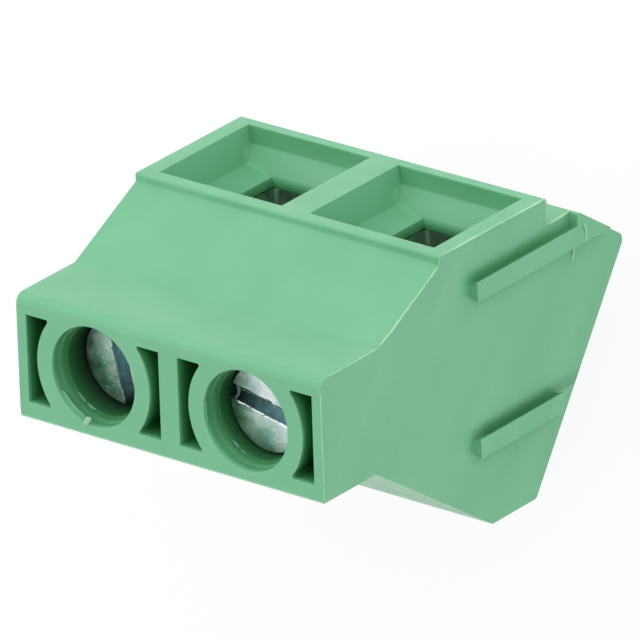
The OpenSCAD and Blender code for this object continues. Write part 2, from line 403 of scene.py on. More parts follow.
@dataclass(frozen=True)
class MouldedPolyamide:
    """Mint green satin polyamide with flow marks, pale specks and a fine grain, with painted light
    and shade.

    Args:
        name: the material's name.
        base: its usual colour.
        pale: its colour where the melt cooled last.
        deep: its colour in the flow marks.
        speck: colour of the dust that clings to it.
        recess_shade: colour of the painted shade in bores, pockets, necks and above the ribs.
        deep_shade: darkest colour of that painted shade, deep in the bores, pockets and necks.
        slope: lighter colour of the painted light on the slope behind a wire entry.
        lower_edge_highlight: colour of the painted highlight on the lower edge of the front.
        band_shade_share: share of the painted shade on the rear band of a funnel.
        rib_shade_share: share of the painted shadow in the corner above a rib.
        neck_v: depth of the necks' middle, in millimetres.
        funnel_v: depth of the funnels' rear walls, in millimetres.
        rib_tops: heights of the ribs' upper edges, in millimetres.
        roughness: range of the surface's roughness.
        recess_roughness: roughness where the painted shade is full.
        mottle_scale: flow marks per metre.
        grain_scale: grains per metre.
        grain_depth: height of the grain, in metres.
    """

    name: str = "mint_polyamide"
    base: Colour = (0.156, 0.470, 0.256)
    pale: Colour = (0.174, 0.490, 0.276)
    deep: Colour = (0.142, 0.450, 0.240)
    speck: Colour = (0.300, 0.600, 0.400)
    recess_shade: Colour = (0.020, 0.215, 0.052)
    deep_shade: Colour = (0.001, 0.030, 0.006)
    slope: Colour = (0.205, 0.535, 0.310)
    lower_edge_highlight: Colour = (0.400, 0.660, 0.490)
    band_shade_share: float = 0.32
    rib_shade_share: float = 0.60
    neck_v: float = 14.55
    funnel_v: float = 17.14
    rib_tops: tuple[float, float] = (7.3, -0.92)
    roughness: tuple[float, float] = (0.30, 0.44)
    recess_roughness: float = 0.75
    mottle_scale: float = 260.0
    grain_scale: float = 9000.0
    grain_depth: float = 4e-6

    def colour(self, nodes: Nodes) -> Socket:
        """Flow marks, pale specks, painted light on slopes and one edge, painted shade in hollows.

        Args:
            nodes: the material's nodes.

        Returns:
            The colour's socket.
        """
        mottle = nodes.noise(self.mottle_scale, 4, (1.0, 0.45, 1.6))
        marks = nodes.ramp(mottle, [(0.3, self.deep), (0.5, self.base), (0.7, self.pale)])
        dust = nodes.ramp(nodes.noise(5200.0, 1), [(0.79, (0, 0, 0)), (0.84, (0.6, 0.6, 0.6))])
        dusty = nodes.blend_colours(dust, marks, nodes.plain(mottle, self.speck))
        # Painted light: the slope behind each wire entry is made lighter.
        lit = nodes.blend_colours(self.slope_light(nodes), dusty, nodes.plain(mottle, self.slope))
        # Painted highlight: the lower edge of the front is made lighter.
        lit = nodes.blend_colours(self.edge(nodes), lit, nodes.plain(mottle, self.lower_edge_highlight))
        # Painted shade in the bores, pockets, necks, funnel bands and above the ribs, darker with
        # depth.
        shadow = nodes.ramp(self.deeper_shade(nodes), [(0.0, self.recess_shade), (1.0, self.deep_shade)])
        return nodes.blend_colours(self.painted_shade(nodes), lit, shadow)

    def edge(self, nodes: Nodes) -> Socket:
        """Share of the painted highlight on the lower edge of the front.

        Args:
            nodes: the material's nodes.

        Returns:
            The share, from 0 to 1.
        """
        depth, height = nodes.along((0, 1, 0)), nodes.along((0, 0, 1))
        return nodes.limits(
            (height, 0.05, 0.15, 0.8, 0.0),
            (depth, 0.2, 0.4, 1.0, 0.0),
            (depth, -0.4, -0.3, 0.0, 1.0),
        )

    def deeper_shade(self, nodes: Nodes) -> Socket:
        """How far the painted shade in a bore, a pocket or a neck darkens with depth.

        Args:
            nodes: the material's nodes.

        Returns:
            The share of the painted shade's darkest colour, from 0 to 1.
        """
        depth, height = nodes.along((0, 1, 0)), nodes.along((0, 0, 1))
        front = nodes.limits((depth, 0.4, 2.2, 0.0, 1.0), (depth, 4.6, 5.0, 1.0, 0.0))
        neck = nodes.limits(
            (height, 5.6, 6.6, 0.5, 0.0),
            (depth, 9.6, 9.7, 0.0, 1.0),
            (height, 7.2, 7.3, 1.0, 0.0),
        )
        return nodes.largest(front, neck)

    def slope_light(self, nodes: Nodes) -> Socket:
        """Share of the painted light on the slope behind each wire entry.

        Args:
            nodes: the material's nodes.

        Returns:
            The share, from 0 to 1.
        """
        depth, height, side = nodes.along((0, 1, 0)), nodes.along((0, 0, 1)), self.beside(nodes)
        return nodes.limits(
            (side, 9.0, 9.2, 1.0, 0.0),
            (height, 7.24, 7.34, 0.0, 1.0),
            (height, 8.30, 8.46, 1.0, 0.0),
            (depth, self.neck_v + 1.7, self.neck_v + 1.95, 0.0, 1.0),
            self.rear(depth),
        )

    def rear(self, depth: Socket) -> Step:
        """The step that ends a mask just behind the funnels' rear walls."""
        return (depth, self.funnel_v + 0.04, self.funnel_v + 0.12, 1.0, 0.0)

    def beside(self, nodes: Nodes) -> Socket:
        """Distance from the middle of the row, to either side.

        Args:
            nodes: the material's nodes.

        Returns:
            The distance, in metres.
        """
        side = nodes.add("Math", operation="ABSOLUTE")
        nodes.tree.links.new(nodes.along((1, 0, 0)), side.inputs[0])
        return side.outputs[0]

    def ring(self, nodes: Nodes) -> Socket:
        """Distance from the nearer screw axis.

        Args:
            nodes: the material's nodes.

        Returns:
            The distance, in metres.
        """
        place = nodes.add("CombineXYZ", X=self.beside(nodes), Y=nodes.along((0, 0, 1)))
        apart = nodes.add("VectorMath", operation="DISTANCE")
        nodes.tree.links.new(place.outputs[0], apart.inputs[0])
        apart.inputs[1].default_value = (HALF_PITCH * MM, AXIS_W * MM, 0)
        return apart.outputs["Value"]

    def front_shade(self, nodes: Nodes) -> Socket:
        """Share of the painted shade in the bores and in the pockets beside them.

        Args:
            nodes: the material's nodes.

        Returns:
            The share, from 0 to 1.
        """
        depth, height = nodes.along((0, 1, 0)), nodes.along((0, 0, 1))
        ring = self.ring(nodes)
        inner = (
            (depth, 4.6, 5.2, 1.0, 0.0),
            (height, 0.35, 0.6, 0.0, 1.0),
            (height, 6.05, 6.25, 1.0, 0.0),
            (self.beside(nodes), 9.25, 9.45, 1.0, 0.0),
        )
        bore = nodes.limits(
            (ring, 3.0, 3.1, 1.0, 0.0),
            (depth, 0.03, 0.10, 0.0, 1.0),
            (depth, 0.38, 1.1, 0.5, 1.0),
            *inner,
        )
        pocket = nodes.limits(
            (ring, 3.2, 3.3, 0.0, 1.0),
            (depth, 0.03, 0.08, 0.0, 1.0),
            (depth, 0.06, 0.7, 0.6, 1.0),
            *inner,
        )
        return nodes.largest(bore, pocket)

    def funnel_shade(self, nodes: Nodes) -> Socket:
        """Share of the painted shade in the necks and on the funnels' rear bands.

        Args:
            nodes: the material's nodes.

        Returns:
            The share, from 0 to 1.
        """
        depth, height = nodes.along((0, 1, 0)), nodes.along((0, 0, 1))
        side = self.beside(nodes)
        neck = nodes.limits(
            (height, 6.75, 7.21, 0.72, 0.12),
            (height, 7.21, 7.26, 1.0, 0.0),
            (height, 5.5, 6.2, 0.0, 1.0),
            (depth, 9.6, 9.7, 0.0, 1.0),
            (depth, 16.6, 16.7, 1.0, 0.0),
            (side, 7.5, 8.0, 1.0, 0.0),
        )
        band = nodes.limits(
            (height, 8.38, 8.46, 0.0, self.band_shade_share),
            (height, 9.25, 9.33, 1.0, 0.0),
            (depth, self.funnel_v - 0.12, self.funnel_v - 0.04, 0.0, 1.0),
            self.rear(depth),
            (side, 9.2, 9.35, 1.0, 0.0),
        )
        return nodes.largest(neck, band)

    def rib_shadow(self, nodes: Nodes, top: float) -> Socket:
        """Share of the painted shadow in the corner above a rib.

        Args:
            nodes: the material's nodes.
            top: height of the rib's upper edge, in millimetres.

        Returns:
            The share, from 0 to 1.
        """
        across, depth, height = (nodes.along(way) for way in ((1, 0, 0), (0, 1, 0), (0, 0, 1)))
        return nodes.limits(
            (height, top - 0.28, top - 0.20, 0.0, self.rib_shade_share),
            (height, top - 0.02, top + 0.75, 1.0, 0.0),
            (depth, 11.2, 12.4, 0.25, 1.0),
            (depth, 11.0, 11.4, 0.0, 1.0),
            (depth, 16.5, 20.5, 1.0, 0.35),
            (across, HALF_WIDTH - 0.12, HALF_WIDTH - 0.04, 0.0, 1.0),
            (across, HALF_WIDTH + 0.435, HALF_WIDTH + 0.455, 1.0, 0.0),
        )

    def painted_shade(self, nodes: Nodes) -> Socket:
        """Share of the painted shade in the bores, pockets, necks, funnel bands and above the ribs.

        Args:
            nodes: the material's nodes.

        Returns:
            The share, from 0 to 1.
        """
        corners = [self.rib_shadow(nodes, top) for top in self.rib_tops]
        return nodes.largest(self.front_shade(nodes), self.funnel_shade(nodes), *corners)

    def material(self) -> bpy.types.Material:
        """The polyamide's node material.

        Returns:
            The material.
        """
        nodes = Nodes(self.name)
        uneven = nodes.spread(nodes.noise(3 * self.mottle_scale, 5), *self.roughness)
        matt = nodes.add("MapRange", Value=self.painted_shade(nodes))
        matt.inputs["To Max"].default_value = self.recess_roughness
        rough = nodes.largest(uneven, matt.outputs["Result"])
        bump = nodes.add(
            "Bump", Height=nodes.noise(self.grain_scale, 2), Strength=0.35,
            Distance=self.grain_depth,
        )
        shader = nodes.add(
            "BsdfPrincipled", Base_Color=self.colour(nodes), Roughness=rough, IOR=1.5,
            Normal=bump.outputs[0],
        )
        shader.inputs["Subsurface Weight"].default_value = 0.06
        shader.inputs["Subsurface Radius"].default_value = (0.4, 1.0, 0.5)
        shader.inputs["Subsurface Scale"].default_value = 0.0004
        return nodes.finish(shader)


@dataclass(frozen=True)
class PlatedMetal:
    """Plated metal with rubbed patches, a crystalline grain and small pits.

    Args:
        name: the material's name.
        bright: colour of the rubbed patches; any green in it is a painted reflection.
        dull: colour between them; any green in it is a painted reflection.
        roughness: range of the surface's roughness.
        grain_scale: grains per metre.
        grain_depth: height of the grain, in metres.
        pit_depth: depth of the pits, in metres.
        stretch: the grain's scale along each axis.
        shaded: colour of the painted shade on the faces deeper than shade_depth.
        shade_depth: depth along the screw axis past which a face takes the painted
            shade, in millimetres, or None where there is none.
    """

    name: str
    bright: Colour
    dull: Colour
    roughness: tuple[float, float]
    grain_scale: float = 5200.0
    grain_depth: float = 1.3e-5
    pit_depth: float = 1.6e-5
    stretch: Triple = (1, 1, 1)
    shaded: Colour = (0.50, 0.66, 0.70)
    shade_depth: float | None = None

    def colour(self, nodes: Nodes) -> Socket:
        """Rubbed patches, and a painted blue-grey shade in the slot.

        Args:
            nodes: the material's nodes.

        Returns:
            The colour's socket.
        """
        patches = nodes.ramp(nodes.noise(900.0, 6), [(0.34, self.dull), (0.62, self.bright)])
        if self.shade_depth is None:
            return patches
        # Painted shade: faces deeper than shade_depth, in the slot, take the shaded colour.
        level = self.shade_depth * MM
        inside = nodes.smooth(nodes.along((0, 1, 0)), (level, level + 0.03 * MM), (0.0, 1.0))
        lighter = tuple(1.4 * c for c in self.shaded)
        dark = nodes.ramp(nodes.noise(2600.0, 4), [(0.35, self.shaded), (0.7, lighter)])
        return nodes.blend_colours(inside, patches, dark)

    def material(self) -> bpy.types.Material:
        """The metal's node material.

        Returns:
            The material.
        """
        nodes = Nodes(self.name)
        rough = nodes.spread(nodes.noise(1700.0, 5, self.stretch), *self.roughness)
        pits = nodes.ramp(nodes.noise(6500.0, 2), [(0.26, (0, 0, 0)), (0.36, (1, 1, 1))])
        pitted = nodes.add("Bump", Height=pits, Strength=0.8, Distance=self.pit_depth)
        grain = nodes.add(
            "Bump", Height=nodes.noise(self.grain_scale, 4, self.stretch), Strength=0.8,
            Distance=self.grain_depth, Normal=pitted.outputs[0],
        )
        shader = nodes.add(
            "BsdfPrincipled", Base_Color=self.colour(nodes), Roughness=rough, Metallic=1.0,
            Normal=grain.outputs[0],
        )
        return nodes.finish(shader)


@dataclass(frozen=True)
class ClearResin:
    """Partly clear resin that ran out at the mould's edge.

    Args:
        name: the material's name.
        tint: its colour.
        clear: share of the light that passes through it.
    """

    name: str = "clear_resin"
    tint: Colour = (0.50, 0.82, 0.60)
    clear: float = 0.35

    def material(self) -> bpy.types.Material:
        """The resin's node material.

        Returns:
            The material.
        """
        nodes = Nodes(self.name)
        darker = tuple(0.9 * c for c in self.tint)
        cloud = nodes.ramp(nodes.noise(2400.0, 3), [(0.3, darker), (0.7, self.tint)])
        rough = nodes.spread(nodes.noise(3000.0, 2), 0.06, 0.22)
        shader = nodes.add("BsdfPrincipled", Base_Color=cloud, Roughness=rough, IOR=1.5)
        shader.inputs["Transmission Weight"].default_value = self.clear
        return nodes.finish(shader)


@dataclass(frozen=True)
class Finishes:
    """Every finish of the terminal, made once."""

    plastic: bpy.types.Material
    flash: bpy.types.Material
    witness: bpy.types.Material
    glint: bpy.types.Material
    bead: bpy.types.Material
    screws: dict[Pole, bpy.types.Material]
    burr: bpy.types.Material
    sleeve: bpy.types.Material
    bar: bpy.types.Material

    @classmethod
    def make(cls) -> "Finishes":
        """Makes the materials.

        Returns:
            The finishes.
        """
        # The green in these colours, and how they differ between the poles, is a painted reflection
        # of the housing.
        zinc_and_reflections = {
            Pole.LEFT: dict(bright=(0.84, 1.00, 0.95), dull=(0.44, 0.80, 0.68)),
            Pole.RIGHT: dict(bright=(0.90, 0.97, 1.00), dull=(0.36, 0.60, 0.53)),
        }
        return cls(
            plastic=MouldedPolyamide().material(),
            # Real mould flash, in a lighter colour that is a painted highlight along the edges it
            # runs on.
            flash=MouldedPolyamide(
                name="thin_flash_highlight", base=(0.360, 0.680, 0.430), pale=(0.470, 0.750, 0.520),
                deep=(0.270, 0.600, 0.350), band_shade_share=0.0, rib_shade_share=0.0,
            ).material(),
            witness=MouldedPolyamide(
                name="witness_line", base=(0.100, 0.360, 0.180), pale=(0.120, 0.400, 0.200),
                deep=(0.085, 0.330, 0.160), band_shade_share=0.0, rib_shade_share=0.0,
            ).material(),
            # Painted highlights: clear pieces on the bores' steps stand in for glints of light.
            glint=ClearResin("glint_highlight_resin", (0.42, 0.72, 0.52)).material(),
            bead=ClearResin().material(),
            screws={
                pole: PlatedMetal(
                    f"zinc_plated_steel_{pole.word}", roughness=(0.24, 0.44),
                    shade_depth=Screw(pole).face + 0.04, **zinc_and_reflections[pole],
                ).material()
                for pole in Pole
            },
            burr=PlatedMetal(
                "raised_zinc_burr", (0.95, 0.95, 0.95), (0.80, 0.81, 0.82), (0.18, 0.36)
            ).material(),
            # The sleeve's darker green tint is painted shade and a painted green reflection in the
            # wire cavity.
            sleeve=PlatedMetal(
                "plated_strip_steel", (0.66, 0.84, 0.72), (0.50, 0.70, 0.57), (0.24, 0.38)
            ).material(),
            # The bar's faint green tint is a painted reflection of the housing.
            bar=PlatedMetal(
                "tinned_copper", (0.86, 0.92, 0.84), (0.74, 0.82, 0.73), (0.24, 0.38)
            ).material(),
        )


class Piece:
    """Makes finished mesh objects from bmeshes."""

    @staticmethod
    def merged_copy(node: str) -> bmesh.types.BMesh:
        """A merged copy of a CAD node, with its flat faces joined.

        Args:
            node: the CAD node's name.

        Returns:
            A bmesh in the row frame, in metres.
        """
        bm = bmesh.new()
        bm.from_mesh(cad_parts[node].data)
        bmesh.ops.remove_doubles(bm, verts=bm.verts[:], dist=1e-7)
        bmesh.ops.dissolve_limit(
            bm, angle_limit=math.radians(0.4), verts=bm.verts[:], edges=bm.edges[:],
            use_dissolve_boundaries=False,
        )
        return bm

    @staticmethod
    def soften(
        bm: bmesh.types.BMesh, width: float, segments: int = 2, least: float = 32.0,
        where: Callable[[Vector], bool] = lambda place: True,
    ) -> None:
        """Bevels the edges sharper than an angle.

        Args:
            bm: the mesh to change.
            width: bevel width in millimetres.
            segments: steps across the bevel.
            least: smallest angle between two faces that counts as sharp.
            where: tells from the body-frame place of an edge's end if the
                edge is bevelled.
        """
        limit = math.radians(least)
        back = BODY.matrix.inverted()
        sharp = [
            e for e in bm.edges
            if e.is_manifold and e.calc_face_angle() > limit
            and all(where(back @ v.co) for v in e.verts)
        ]
        bmesh.ops.bevel(
            bm, geom=sharp, offset=width * MM, offset_type="OFFSET", segments=segments,
            profile=0.5, affect="EDGES", clamp_overlap=True, material=-1,
        )
        bmesh.ops.dissolve_degenerate(bm, dist=1e-6, edges=bm.edges[:])

    @staticmethod
    def make(
        name: str, bm: bmesh.types.BMesh, material: bpy.types.Material, body: str, slot: Slot,
        crease: float = 40.0,
    ) -> bpy.types.Object:
        """Turns a bmesh in the row frame into a piece that rides on a body.

        Args:
            name: the piece's name.
            bm: its mesh; it is freed.
            material: its finish.
            body: the CAD body it moves with.
            slot: the record's material slot it stands for; not used.
            crease: edges sharper than this many degrees stay sharp.

        Returns:
            The new object.
        """
        mesh = bpy.data.meshes.new(name)
        bm.to_mesh(mesh)
        bm.free()
        mesh.shade_smooth()
        mesh.set_sharp_from_angle(angle=math.radians(crease))
        mesh.materials.append(material)
        obj = bpy.data.objects.new(name, mesh)
        bpy.context.scene.collection.objects.link(obj)
        weighted = obj.modifiers.new("even_normals", "WEIGHTED_NORMAL")
        weighted.keep_sharp = True
        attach(obj, body)
        log.info("%s: %d faces on %s", name, len(mesh.polygons), body)
        return obj


@dataclass(frozen=True)
class Run:
    """A thin line of flash or burr, drawn along a path in the body frame.

    Args:
        path: corners of the line.
        rise: direction it stands up in.
        width: its thickness.
        height: how far it stands out.
        sink: how deep its foot is in the piece below.
        wander: how far it strays to each side.
        rag: how much its height changes, from 0 to 1.
        step: length of one piece of it.
        seed: makes its own shape.
    """

    path: tuple[Triple, ...]
    rise: Triple
    width: float = 0.04
    height: float = 0.06
    sink: float = 0.03
    wander: float = 0.012
    rag: float = 0.45
    step: float = 0.11
    seed: int = 1

    def _points(self) -> list[Vector]:
        """Places along the path, about one step apart.

        Returns:
            The places in the body frame.
        """
        points = []
        for start, end in zip(self.path, self.path[1:]):
            first, last = Vector(start), Vector(end)
            count = max(1, round((last - first).length / self.step))
            points += [first.lerp(last, i / count) for i in range(count)]
        return points + [Vector(self.path[-1])]

    def add_to(self, bm: bmesh.types.BMesh) -> None:
        """Extrudes the line into a mesh in the body frame.

        Args:
            bm: the mesh that gets it.
        """
        points, rise = self._points(), Vector(self.rise).normalized()
        face, frame_before = None, Matrix()
        for i, point in enumerate(points):
            along = (points[min(i + 1, len(points) - 1)] - points[max(i - 1, 0)]).normalized()
            side = along.cross(rise).normalized()
            drift = noise.noise(Vector((0.9 * i * self.step, self.seed, 0.5)))
            swell = noise.noise(Vector((1.7 * i * self.step, 7.3 * self.seed, 1.5)))
            jag = noise.noise(Vector((6.0 * i * self.step, 3.1 * self.seed, 2.5)))
            fade = min(1.0, 0.35 + 0.3 * i, 0.35 + 0.3 * (len(points) - 1 - i))
            uneven = max(0.15, 1 + self.rag * (1.6 * swell + 1.2 * jag))
            tall = self.sink + self.height * fade * uneven
            thick = self.width * fade * (1 + 0.8 * self.rag * swell)
            stray = side * self.wander * 2 * (drift + 0.5 * jag)
            middle = point + rise * (tall / 2 - self.sink) + stray
            here = Matrix.Identity(4)
            for column, vector in enumerate((side * thick, rise * tall, side.cross(rise), middle)):
                here.col[column][:3] = vector
            if face is None:
                made = bmesh.ops.create_grid(
                    bm, x_segments=1, y_segments=1, size=0.5, matrix=here
                )["verts"]
                face = made[0].link_faces[0]
                first_edges = list(face.edges)
            else:
                made = bmesh.ops.extrude_face_region(bm, geom=[face, *face.edges])["geom"]
                face = next(g for g in made if isinstance(g, bmesh.types.BMFace))
                move = here @ frame_before.inverted()
                bmesh.ops.transform(bm, matrix=move, verts=list(face.verts))
            frame_before = here
        open_edges = [e for e in first_edges if e.is_valid and e.is_boundary]
        bmesh.ops.holes_fill(bm, edges=open_edges, sides=4)

    @staticmethod
    def piece(
        name: str, runs: list["Run"], material: bpy.types.Material, body: str, slot: Slot
    ) -> bpy.types.Object:
        """Makes one piece of several lines.

        Args:
            name: the piece's name.
            runs: its lines.
            material: its finish.
            body: the CAD body it moves with.
            slot: the record's material slot it stands for.

        Returns:
            The new object.
        """
        bm = bmesh.new()
        for run in runs:
            run.add_to(bm)
        bmesh.ops.recalc_face_normals(bm, faces=bm.faces[:])
        bmesh.ops.transform(bm, matrix=BODY.matrix, verts=bm.verts[:])
        bmesh.ops.recalc_face_normals(bm, faces=bm.faces[:])
        return Piece.make(name, bm, material, body, slot, crease=70.0)


@dataclass
class Housing:
    """The moulded housing with its mould flash.

    Args:
        edge: width of the softened edges.
        mouth_edge: width of the softened edges in the bores.
        foot_edge: width of the rounded lower corners of the front.
        mouth_r: radius of a bore's mouth.
        step_r: radius of the painted highlights on a bore's step.
        step_depth: depth of that step.
        rib_out: how far a rib stands out of the side.
        body: the CAD body it belongs to.
    """

    edge: float = 0.055
    mouth_edge: float = 0.025
    foot_edge: float = 0.08
    mouth_r: float = 2.6
    step_r: float = 2.40
    step_depth: float = 0.80
    rib_out: float = 0.5
    body: str = "block"

    def _in_bore(self, place: Vector) -> bool:
        """Tells if a body-frame place is on a bore's mouth or steps."""
        across = abs(place.x) - HALF_PITCH
        return place.y < 1.2 and math.hypot(across, place.z - AXIS_W) < self.mouth_r + 0.1

    def _at_foot(self, place: Vector) -> bool:
        """Tells if a body-frame place is on a lower corner of the front."""
        return abs(place.x) > HALF_WIDTH - 0.1 and place.y < 4.9 and place.z < 0.3

    @staticmethod
    def arc(pole: Pole, radius: float, depth: float, start: int, end: int) -> tuple[Triple, ...]:
        """Corners of an arc round a bore's axis.

        Args:
            pole: the bore's pole.
            radius: the arc's radius.
            depth: its depth along the bore.
            start: angle where it starts, in degrees from the x axis.
            end: angle where it ends.

        Returns:
            The arc's corners in the body frame.
        """
        middle = pole.value * HALF_PITCH
        turns = (math.radians(a) for a in range(start, end + 1, 2))
        return tuple(
            (middle + radius * math.cos(a), depth, AXIS_W + radius * math.sin(a)) for a in turns
        )

    def shell(self, finishes: Finishes) -> None:
        """Builds the shell with crisp bores and softer edges elsewhere.

        Args:
            finishes: the terminal's finishes.
        """
        bm = Piece.merged_copy("housing")
        Piece.soften(bm, self.foot_edge, segments=4, least=50.0, where=self._at_foot)
        Piece.soften(bm, self.mouth_edge, where=self._in_bore)
        Piece.soften(bm, self.edge, least=50.0, where=lambda place: not self._in_bore(place))
        shell = Piece.make("housing_shell", bm, finishes.plastic, self.body, Slot.PLASTIC)
        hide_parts("housing")

    def flash(self, finishes: Finishes) -> None:
        """Builds the thin flash along the mould's parting edges, coloured as a painted highlight.

        Args:
            finishes: the terminal's finishes.
        """
        x, out = HALF_WIDTH - 0.02, HALF_WIDTH + self.rib_out
        side, front = (1, 0, 0), (1, -0.6, 0)
        upper, top = (0.8, 0, 0.8), (0.6, 0, 1)
        rib_end = ((out, 20.05, 7.3), (out, 20.16, 6.87), (out, 20.18, 6.44), (out, 20.12, 6.24))
        below_rib = ((x, 19.9, 6.2), (x, 19.75, 5.88), (x, 19.64, 5.54), (x, 19.57, 5.26))
        rim_front = ((x, 9.45, 9.37), (x, 12.0, 9.37), (x, 14.2, 9.37))
        nick = ((x - 0.05, 14.0, 9.37), (x + 0.03, 14.5, 9.30))
        slope = ((x, 4.6, 6.48), (x, 9.35, 8.90))
        rim_rear = ((x, 14.5, 9.37), (x, 17.7, 9.37))
        rear_drop = ((x, 17.76, 9.32), (x, 17.76, 7.96))
        ledge = ((x, 17.8, 7.95), (x, 19.75, 7.95))
        runs = [
            Run(((x, -0.17, 0.1), (x, -0.03, 6.0)), front, 0.035, 0.03, wander=0.008, seed=2),
            Run(((x, 0.5, 6.45), (x, 4.5, 6.45)), top, 0.035, 0.03, wander=0.01, seed=3),
            Run(slope, (0.6, -0.4, 0.8), 0.07, 0.05, wander=0.02, rag=0.7, seed=4),
            Run(((x, 9.42, 8.95), (x, 9.42, 9.34)), (0.6, -1, 0), 0.07, 0.06, seed=5),
            Run(rim_front, upper, 0.08, 0.09, wander=0.015, seed=6),
            Run(nick, top, 0.10, 0.15, wander=0.03, seed=7),
            Run(rim_rear, upper, 0.09, 0.07, wander=0.03, rag=0.8, seed=8),
            Run(rear_drop, (0.8, 0.8, 0), 0.10, 0.09, wander=0.02, seed=9),
            Run(ledge, upper, 0.08, 0.07, wander=0.04, rag=0.7, seed=10),
            Run(rib_end, side, 0.11, 0.05, seed=11),
            Run(below_rib, side, 0.11, 0.06, seed=12),
            Run(((x, 21.3, 6.0), (x, 21.8, 6.05)), side, 0.08, 0.05, seed=13),
        ]
        Run.piece("housing_flash_highlight", runs, finishes.flash, self.body, Slot.PLASTIC)

    def mouths(self, finishes: Finishes) -> None:
        """Builds the skin on the bores' mouths and the painted highlights on their steps.

        Args:
            finishes: the terminal's finishes.
        """
        skin = [
            Run(
                self.arc(pole, radius, 0.02, start, end), (0, -1, 0), width, 0.012,
                wander=0.0, rag=0.25, step=0.08, seed=start,
            )
            for pole, radius, start, end, width in (
                (Pole.LEFT, 2.52, 211, 254, 0.27), (Pole.RIGHT, 2.57, 170, 196, 0.12),
            )
        ]
        Run.piece("mouth_skin", skin, finishes.plastic, self.body, Slot.PLASTIC)
        # Painted highlights: pale clear pieces where light glints on each bore's step.
        glints = [
            Run(
                self.arc(pole, self.step_r, self.step_depth, start, end), (0, -1, 0), width, 0.04,
                wander=0.02, rag=0.9, step=0.08, seed=end,
            )
            for pole, start, end, width in (
                (Pole.LEFT, 222, 236, 0.05), (Pole.LEFT, 238, 252, 0.07),
                (Pole.RIGHT, 228, 238, 0.04), (Pole.RIGHT, 242, 250, 0.05),
            )
        ]
        Run.piece("step_glint_highlights", glints, finishes.glint, self.body, Slot.PLASTIC)

    def witness_line(self, finishes: Finishes) -> None:
        """Builds the fine line that the mould left on the right side.

        Args:
            finishes: the terminal's finishes.
        """
        path = ((HALF_WIDTH, 11.45, 9.2), (HALF_WIDTH, 11.5, 7.4))
        witness = [Run(path, (1, 0, 0), 0.03, 0.004, wander=0.0)]
        Run.piece("housing_witness_line", witness, finishes.witness, self.body, Slot.PLASTIC)

    def bead(self, finishes: Finishes) -> None:
        """Builds the clear bead that hangs from the left bore's mouth.

        Args:
            finishes: the terminal's finishes.
        """
        bm = bmesh.new()
        drops = ((-5.16, 0.86, 0.15), (-5.26, 0.72, 0.15), (-5.36, 0.60, 0.11), (-5.06, 0.93, 0.09))
        for x, w, size in drops:
            made = bmesh.ops.create_icosphere(bm, subdivisions=3, radius=size)["verts"]
            for vert in made:
                vert.co *= 1 + 0.12 * noise.noise(vert.co * 9 + Vector((x * 9, w * 7, 1)))
            bmesh.ops.scale(bm, verts=made, vec=(1.05, 0.6, 1.2))
            bmesh.ops.translate(bm, verts=made, vec=(x, -0.2, w))
        bmesh.ops.transform(bm, matrix=BODY.matrix, verts=bm.verts[:])
        Piece.make("mouth_bead", bm, finishes.bead, self.body, Slot.PLASTIC, crease=180.0)

    def build(self, finishes: Finishes) -> None:
        """Builds every piece of the housing.

        Args:
            finishes: the terminal's finishes.
        """
        self.shell(finishes)
        self.flash(finishes)
        self.mouths(finishes)
        self.witness_line(finishes)
        self.bead(finishes)


